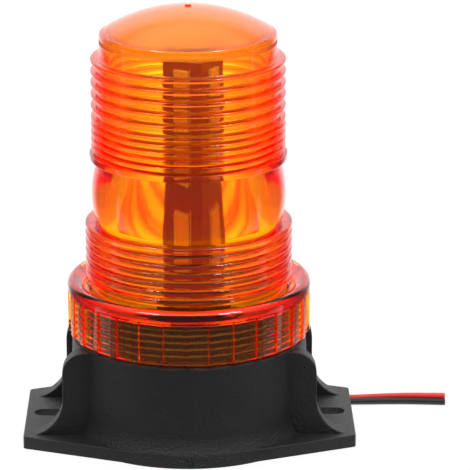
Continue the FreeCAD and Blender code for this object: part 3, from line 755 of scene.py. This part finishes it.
# %% PVC insulation
pvc_lines = 0.35
pvc_stretch = (0.06, 1, 1)
red_pvc = grained("red_pvc", ("#b8221f", "#d2322c"), (0.28, 0.46), pvc_lines, stretch=pvc_stretch, IOR=1.53)
black_pvc = grained("black_pvc", ("#0f0e0e", "#151414"), (0.28, 0.46), pvc_lines, stretch=pvc_stretch, IOR=1.53)
red_wire.data.materials.append(red_pvc)
black_wire.data.materials.append(black_pvc)
wear(["inner_lead_red"], red_pvc)
wear(["inner_lead_black"], black_pvc)
print("lines", pvc_lines, "mm, drawn out", round(1 / pvc_stretch[0]), "times")

# %% [markdown]
# The small metal parts are made in four ways, and each leaves its own mark on the light: zinc-plated screws
# are bright with a faint mottle, drawn copper is clean and smooth, the aluminium core has lines from the
# extrusion die, and the capacitor's can is deep-drawn. The pins are brass with a thin coat of gold.

# %% Metals
metal = {"bump_strength": 0.15, "bump_height": 0.03, "Metallic": 1.0}
zinc_plate = grained("zinc_plated_steel", ("#b9bcbf", "#d3d6d8"), (0.22, 0.38), 0.4, **metal)
drawn_copper = grained("drawn_copper", ("#d98a5b", "#eaa477"), (0.2, 0.3), 0.1, **metal)
extruded_aluminium = grained("extruded_aluminium", ("#c4c7c9", "#d6d8da"), (0.28, 0.42), 0.5,
                             stretch=(1, 1, 0.03), **metal)
drawn_can = grained("deep_drawn_aluminium", ("#c9cbcd", "#dcdee0"), (0.18, 0.3), 0.8, stretch=(1, 1, 0.1), **metal)
plated_pins = grained("gold_plated_brass", ("#d8b25a", "#e9c975"), (0.2, 0.32), 0.3, **metal)
wear(["cover_screws", "board_screws", "socket_screws"], zinc_plate)
wear(["tower_core"], extruded_aluminium)
wear(["filter_capacitor"], drawn_can)
wear(["pin_header"], plated_pins)
for piece in (black_strands, red_strands):
    piece.data.materials.append(drawn_copper)
print("metals", [m.name for m in (zinc_plate, drawn_copper, extruded_aluminium, drawn_can, plated_pins)])

# %% [markdown]
# Everything else that is hidden or half seen is moulded, coated, fired or cast. Rubber is matt, epoxy and
# ferrite are dull and gritty, and solder mask and glaze shine. The tower's boards wear a rust-red mask, because
# through the amber belt they show as dark orange. The dish is polystyrene, the whitest cheap plastic.

# %% Rubber, epoxy, ceramic and solder mask
wear(["cable_grommet"], grained("moulded_rubber", ("#1b1b1c", "#29292a"), (0.55, 0.75), 0.6))
wear(["lens_seal"], grained("moulded_silicone", ("#1b1b1c", "#29292a"), (0.5, 0.65), 0.6))
wear(["driver_board"], grained("green_solder_mask", ("#114a26", "#1a5c31"), (0.25, 0.4), 2.0, 0.1))
wear(["power_inductor"], grained("sintered_ferrite", ("#2b2523", "#3a322e"), (0.5, 0.7), 0.3))
wear(["driver_chip", "rectifier_diodes"], grained("moulded_epoxy", ("#1c1c1d", "#272728"), (0.45, 0.6), 0.15))
wear(["chip_resistors"], grained("glazed_ceramic", ("#1a1a1d", "#2c2c30"), (0.2, 0.35), 0.5, 0.05))
board_mask = grained("solder_mask_on_aluminium", ("#a84c3a", "#b25444"), (0.3, 0.45), 1.5, 0.1)
led_shell = grained("white_led_package", ("#f2eee4", "#faf7ee"), (0.35, 0.5), 0.4, 0.1)
for side_name in ("front", "right", "back", "left"):
    wear(["led_board_" + side_name], board_mask)
    wear(["leds_" + side_name], led_shell)
wear(["top_board"], board_mask)
wear(["top_leds"], led_shell)
dish.data.materials.append(grained("white_polystyrene", ("#e4e2dc", "#efede8"), (0.4, 0.55), 0.8, 0.1))
print("materials", len(bpy.data.materials))

# %% [markdown]
# Each LED is a flat white package with a sunk window, filled with clear gel over yellow phosphor. The gel is
# a piece of its own: a pad that bulges a little, set in every window of the tower.

# %% LED sizes
tower_x = 1.4
tower_yaw = math.radians(-30)
tower_side = 12.6
tower_top = fins_top - 0.2
led_width = 4.5
led_length = 5.7
led_height = 0.9
led_rim = 0.45
window_depth = 0.25
led_rows = 6
led_top_drop = 5.9
led_pitch = 10.2
top_led_gap = 0.7
gel_room = 0.03
gel_rings = [(0, 0.02 - window_depth), (0, -0.09), (0.35, -0.05), (1.0, -0.02)]


def in_tower(x, y, z):
    """A place in metres from one in the tower's own turned frame in millimetres."""
    return Vector((tower_x + x * math.cos(tower_yaw) - y * math.sin(tower_yaw),
                   x * math.sin(tower_yaw) + y * math.cos(tower_yaw), z)) * mm


print("LED rows", led_rows, "from", round(tower_top - led_top_drop, 1), "mm down")

# %% Phosphor windows
def pad(centre, normal, along, half_width, half_length, rings):
    """Crowned pad with round corners. A ring is its inset and height, and the long side runs along."""
    across = normal.cross(along)
    sides = 28
    squareness = 0.35
    verts = []
    for inset, height in rings:
        for i in range(sides):
            c, s = math.cos(2 * math.pi * i / sides), math.sin(2 * math.pi * i / sides)
            x = (half_width - inset) * math.copysign(abs(c) ** squareness, c)
            y = (half_length - inset) * math.copysign(abs(s) ** squareness, s)
            verts.append(centre + (across * x + along * y + normal * height) * mm)
    faces = [list(range(sides))[::-1], [(len(rings) - 1) * sides + i for i in range(sides)]]
    for ring in range(len(rings) - 1):
        faces += band(ring, ring + 1, sides)
    return verts, faces


def gel_pad(centre, normal, along):
    edge = led_rim + gel_room
    return pad(centre, normal, along, led_width / 2 - edge, led_length / 2 - edge, gel_rings)


def gel_pads():
    """A pad in each window, on the four sides from the top down and then on the top board."""
    pads = []
    face = tower_side / 2 + led_height
    upright = Vector((0, 0, 1))
    foot = in_tower(0, 0, 0)
    for quarter in range(4):
        c, s = math.cos(quarter * math.pi / 2), math.sin(quarter * math.pi / 2)
        normal = (in_tower(s, -c, 0) - foot).normalized()
        for row in range(led_rows):
            z = tower_top - led_top_drop - row * led_pitch
            pads.append(gel_pad(in_tower(s * face, -c * face, z), normal, upright))
    along = (in_tower(0, 1, 0) - foot).normalized()
    for x in (-1, 1):
        for y in (-1, 1):
            place = in_tower(x * (led_width + top_led_gap) / 2, y * (led_length + top_led_gap) / 2,
                             tower_top + led_height)
            pads.append(gel_pad(place, upright, along))
    return merged(pads)


phosphor = new_piece("led_phosphor", *gel_pads(), "base", "led_package", sharp=50)
phosphor.data.materials.append(grained("phosphor_gel", ("#fbc850", "#ffd86c"), (0.15, 0.3), 0.8, 0.05, IOR=1.41))
print("gel pads", 4 * led_rows + 4)

# %% [markdown]
# Black plastic flows into the base's mould through a gate in the middle of the front foot. Where the stub was
# snapped off, a small raised mark is left, and the photograph shows it.

# %% Gate mark
foot_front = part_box("base_housing")[0][1]
mark_place = Vector((0.1 * mm, foot_front, 1.7 * mm))
mark_half_width = 0.55
mark_half_height = 1.35
mark_rings = [(0, -0.1), (0, 0.05), (0.1, 0.14), (0.3, 0.1)]
mark = pad(mark_place, Vector((0, -1, 0)), Vector((0, 0, 1)), mark_half_width, mark_half_height, mark_rings)
gate_mark = new_piece("gate_mark", *mark, "base", "black_abs", sharp=40)
gate_mark.data.materials.append(abs_material)
print("gate mark", 2 * mark_half_width, "by", 2 * mark_half_height, "mm")

# %% [markdown]
# The light is that of a plain white studio. The camera sees white all round: a strength of 1 in the floor and
# the sky, for camera rays alone. Rays that have been reflected or refracted see another room, which Light Path
# tells apart: white only behind the object, and dark in front and at the sides, because it is that dark
# which draws the lines between the fins. On the floor straight behind lies a bright pool, and a still
# brighter one further back, which shine up through the steps and the lower fins. Everything else, such as
# the black plastic, gets a soft even fill from the sky, and the floor keeps a faint shadow.

# %% Levels of light
sky_white = 1.25
back_white = 1.05
pool_white = 2.6
far_pool_white = 4.5
high_white = 2.6
near_dark = 0.35
floor_dark = 0.14
soft_fill = 0.5
shadow_share = 0.15
print("brightest pool", far_pool_white, "darkest floor", floor_dark)

# %% [markdown]
# The floor is a sheet of white paper just under the object. Its level depends on where a ray meets it, in
# metres from the object's axis: Y runs away from the camera and X to the sides. What is mirrored grows bright
# within a wedge and a strip behind the object, and what is seen through the lens gets the two pools. The
# sheet is clear from below, so that the underside can be looked at.

# %% Floor
floor_size = 3.0
floor_drop = 0.02 * mm
floor_mesh = bpy.data.meshes.new("floor")
half = floor_size / 2
floor_mesh.from_pydata([(-half, -half, 0), (half, -half, 0), (half, half, 0), (-half, half, 0)], [], [[0, 1, 2, 3]])
floor = bpy.data.objects.new("floor", floor_mesh)
bpy.context.scene.collection.objects.link(floor)
floor.location.z = -floor_drop
print("floor", floor_size, "m square")

# %% White paper
# One level goes over into the next between each pair of limits: the wedge's are X over Y, the others metres
smooth = {"interpolation_type": "SMOOTHSTEP"}
behind_object = {"From Min": -0.06, "From Max": 0.01}
wedge_edge = {"From Min": 0.55, "From Max": 1.2}
strip_edge = {"From Min": 0.06, "From Max": 0.13}
past_object = {"From Min": -0.08, "From Max": 0.03}
far_pool = {"From Min": 0.26, "From Max": 0.32}
pool_edge = {"From Min": 0.0, "From Max": 0.09}
white_to_dark = {"To Min": sky_white, "To Max": floor_dark}
near_to_far = {"To Min": pool_white, "To Max": far_pool_white}

floor_material, paper, floor_shader = start_material("white_paper", **{"Base Color": colour("#e7e7e7"),
                                                                       "Roughness": 0.9})
floor_rays = add(paper, "ShaderNodeLightPath").outputs
floor_geometry = add(paper, "ShaderNodeNewGeometry").outputs
floor_axes = add(paper, "ShaderNodeSeparateXYZ", {0: floor_geometry["Position"]}).outputs
floor_y = floor_axes["Y"]
floor_aside = add(paper, "ShaderNodeMath", {0: floor_axes["X"]}, operation="ABSOLUTE").outputs[0]
print("floor material", floor_material.name)

# %% What is mirrored in the floor's place
floor_slant = add(paper, "ShaderNodeMath", {0: floor_aside, 1: floor_y}, operation="DIVIDE").outputs[0]
wedge = add(paper, "ShaderNodeMapRange", {"Value": floor_slant, **wedge_edge, **white_to_dark}, **smooth).outputs[0]
strip = add(paper, "ShaderNodeMapRange", {"Value": floor_aside, **strip_edge, **white_to_dark}, **smooth).outputs[0]
bright = add(paper, "ShaderNodeMath", {0: wedge, 1: strip}, operation="MAXIMUM").outputs[0]
near = add(paper, "ShaderNodeMapRange", {"Value": floor_y, **behind_object}, **smooth).outputs[0]
floor_mirrored = add(paper, "ShaderNodeMix", {"Factor": near, 2: floor_dark, 3: bright}).outputs[0]
print("mirrored floor from", floor_dark, "to", sky_white)

# %% What is seen through the lens in the floor's place
pool_level = add(paper, "ShaderNodeMapRange", {"Value": floor_y, **far_pool, **near_to_far}, **smooth).outputs[0]
pool_share = add(paper, "ShaderNodeMapRange", {"Value": floor_aside, **pool_edge}, **smooth).outputs[0]
floor_pool = add(paper, "ShaderNodeMix", {"Factor": pool_share, 2: pool_level, 3: back_white}).outputs[0]
past = add(paper, "ShaderNodeMapRange", {"Value": floor_y, **past_object}, **smooth).outputs[0]
floor_through = add(paper, "ShaderNodeMix", {"Factor": past, 2: near_dark, 3: floor_pool}).outputs[0]
print("floor through the lens from", near_dark, "to", far_pool_white)

# %% Floor put together: the glow for clear rays and the camera, with some plain paper under the shadow
from_camera, from_gloss, from_lens = (floor_rays[kind] for kind in
                                      ("Is Camera Ray", "Is Glossy Ray", "Is Transmission Ray"))
floor_clear = add(paper, "ShaderNodeMix", {"Factor": from_lens, 2: floor_mirrored, 3: floor_through}).outputs[0]
floor_level = add(paper, "ShaderNodeMix", {"Factor": from_camera, 2: floor_clear, 3: 1.0}).outputs[0]
glow = add(paper, "ShaderNodeEmission", {"Color": white, "Strength": floor_level})
gloss_or_lens = add(paper, "ShaderNodeMath", {0: from_gloss, 1: from_lens}, operation="MAXIMUM").outputs[0]
floor_seen = add(paper, "ShaderNodeMath", {0: from_camera, 1: gloss_or_lens}, operation="MAXIMUM").outputs[0]
floor_cut = add(paper, "ShaderNodeMix", {"Factor": from_camera, 2: 1.0, 3: 1 - shadow_share}).outputs[0]
floor_share = add(paper, "ShaderNodeMath", {0: floor_seen, 1: floor_cut}, operation="MULTIPLY").outputs[0]
blend = add(paper, "ShaderNodeMixShader", {0: floor_share, 1: floor_shader.outputs[0], 2: glow.outputs[0]})
clear_back = add(paper, "ShaderNodeBsdfTransparent")
one_sided = add(paper, "ShaderNodeMixShader", {0: floor_geometry["Backfacing"], 1: blend.outputs[0],
                                               2: clear_back.outputs[0]})
floor_output = next(n for n in paper.nodes if n.type == "OUTPUT_MATERIAL")
paper.links.new(one_sided.outputs[0], floor_output.inputs["Surface"])
floor_mesh.materials.append(floor_material)
print("floor shader nodes", len(paper.nodes))

# %% [markdown]
# The sky's level depends on a ray's direction, a vector of length one: Y points away from the camera and Z up.
# Mirrored rays meet white behind the object and above it. Rays through the lens meet white behind it and a
# brighter light higher up, which makes the dome glow.

# %% Sky
world = bpy.data.worlds.new("studio")
bpy.context.scene.world = world
world.use_nodes = True
sky = world.node_tree
sky.nodes.clear()
rays = add(sky, "ShaderNodeLightPath").outputs
way = add(sky, "ShaderNodeSeparateXYZ", {0: add(sky, "ShaderNodeTexCoord").outputs["Generated"]}).outputs
print("sky", world.name)

# %% What is mirrored in the sky, and what is seen through the lens
sky_behind = {"From Min": 0.55, "From Max": 0.87, "To Min": floor_dark, "To Max": sky_white}
sky_above = {"From Min": 0.5, "From Max": 0.8}
sky_back = {"From Min": -0.1, "From Max": 0.2, "To Max": sky_white}
sky_high = {"From Min": 0.1, "From Max": 0.35, "To Min": near_dark, "To Max": high_white}
behind = add(sky, "ShaderNodeMapRange", {"Value": way["Y"], **sky_behind}, **smooth).outputs[0]
above = add(sky, "ShaderNodeMapRange", {"Value": way["Z"], **sky_above}, **smooth).outputs[0]
back = add(sky, "ShaderNodeMapRange", {"Value": way["Y"], **sky_back}, **smooth).outputs[0]
high = add(sky, "ShaderNodeMapRange", {"Value": way["Z"], **sky_high}, **smooth).outputs[0]
mirrored = add(sky, "ShaderNodeMath", {0: behind, 1: above}, operation="MAXIMUM").outputs[0]
through = add(sky, "ShaderNodeMath", {0: back, 1: high}, operation="MAXIMUM").outputs[0]
print("mirrored sky from", floor_dark, "to", sky_white, "and through the lens up to", high_white)

# %% Sky put together
camera_ray, gloss_ray, lens_ray = (rays[kind] for kind in ("Is Camera Ray", "Is Glossy Ray", "Is Transmission Ray"))
clear_level = add(sky, "ShaderNodeMix", {"Factor": lens_ray, 2: mirrored, 3: through}).outputs[0]
clear = add(sky, "ShaderNodeMath", {0: gloss_ray, 1: lens_ray}, operation="MAXIMUM").outputs[0]
unseen_level = add(sky, "ShaderNodeMix", {"Factor": clear, 2: soft_fill, 3: clear_level}).outputs[0]
level = add(sky, "ShaderNodeMix", {"Factor": camera_ray, 2: unseen_level, 3: 1.0}).outputs[0]
background = add(sky, "ShaderNodeBackground", {"Color": white, "Strength": level})
add(sky, "ShaderNodeOutputWorld", {"Surface": background.outputs[0]})
print("sky shader nodes", len(sky.nodes))

# %% [markdown]
# The lamps only model the form: one broad lamp overhead and behind, which isn't mirrored itself, and two small
# boxes high in front at the sides, which draw the short white streaks on the dome's edge and the shoulder.

# %% Lamps
def lamp(name, place, width, height, power, in_gloss):
    """Rectangular lamp in metres and watts, aimed at the middle of the object."""
    data = bpy.data.lights.new(name, "AREA")
    data.shape = "RECTANGLE"
    data.size = width
    data.size_y = height
    data.energy = power
    light = bpy.data.objects.new(name, data)
    bpy.context.scene.collection.objects.link(light)
    light.location = place
    light.rotation_euler = (object_middle - Vector(place)).to_track_quat("-Z", "Y").to_euler()
    light.visible_glossy = in_gloss
    light.visible_transmission = False


object_middle = Vector((0, 0, 0.07))
lamp("overhead_lamp", (0, 0.3, 1.1), 1.2, 0.8, 15, False)
lamp("left_box", (-0.59, -0.50, 1.0), 0.36, 0.22, 4, True)
lamp("right_box", (0.59, -0.50, 1.0), 0.36, 0.22, 6, True)
print("lamps", len(bpy.data.lights))

# %% [markdown]
# Light that runs along inside the lens meets dozens of surfaces before it comes out. A path that is cut short
# counts as black, and with few bounces that draws black arcs along the rings. So every limit that concerns
# clear plastic is high.

# %% Colour and light paths
most_bounces = 64
scene = bpy.context.scene
scene.view_settings.view_transform = "Standard"
scene.cycles.max_bounces = most_bounces
scene.cycles.transmission_bounces = most_bounces
scene.cycles.glossy_bounces = most_bounces
scene.cycles.transparent_max_bounces = 16
print("bounces", most_bounces)
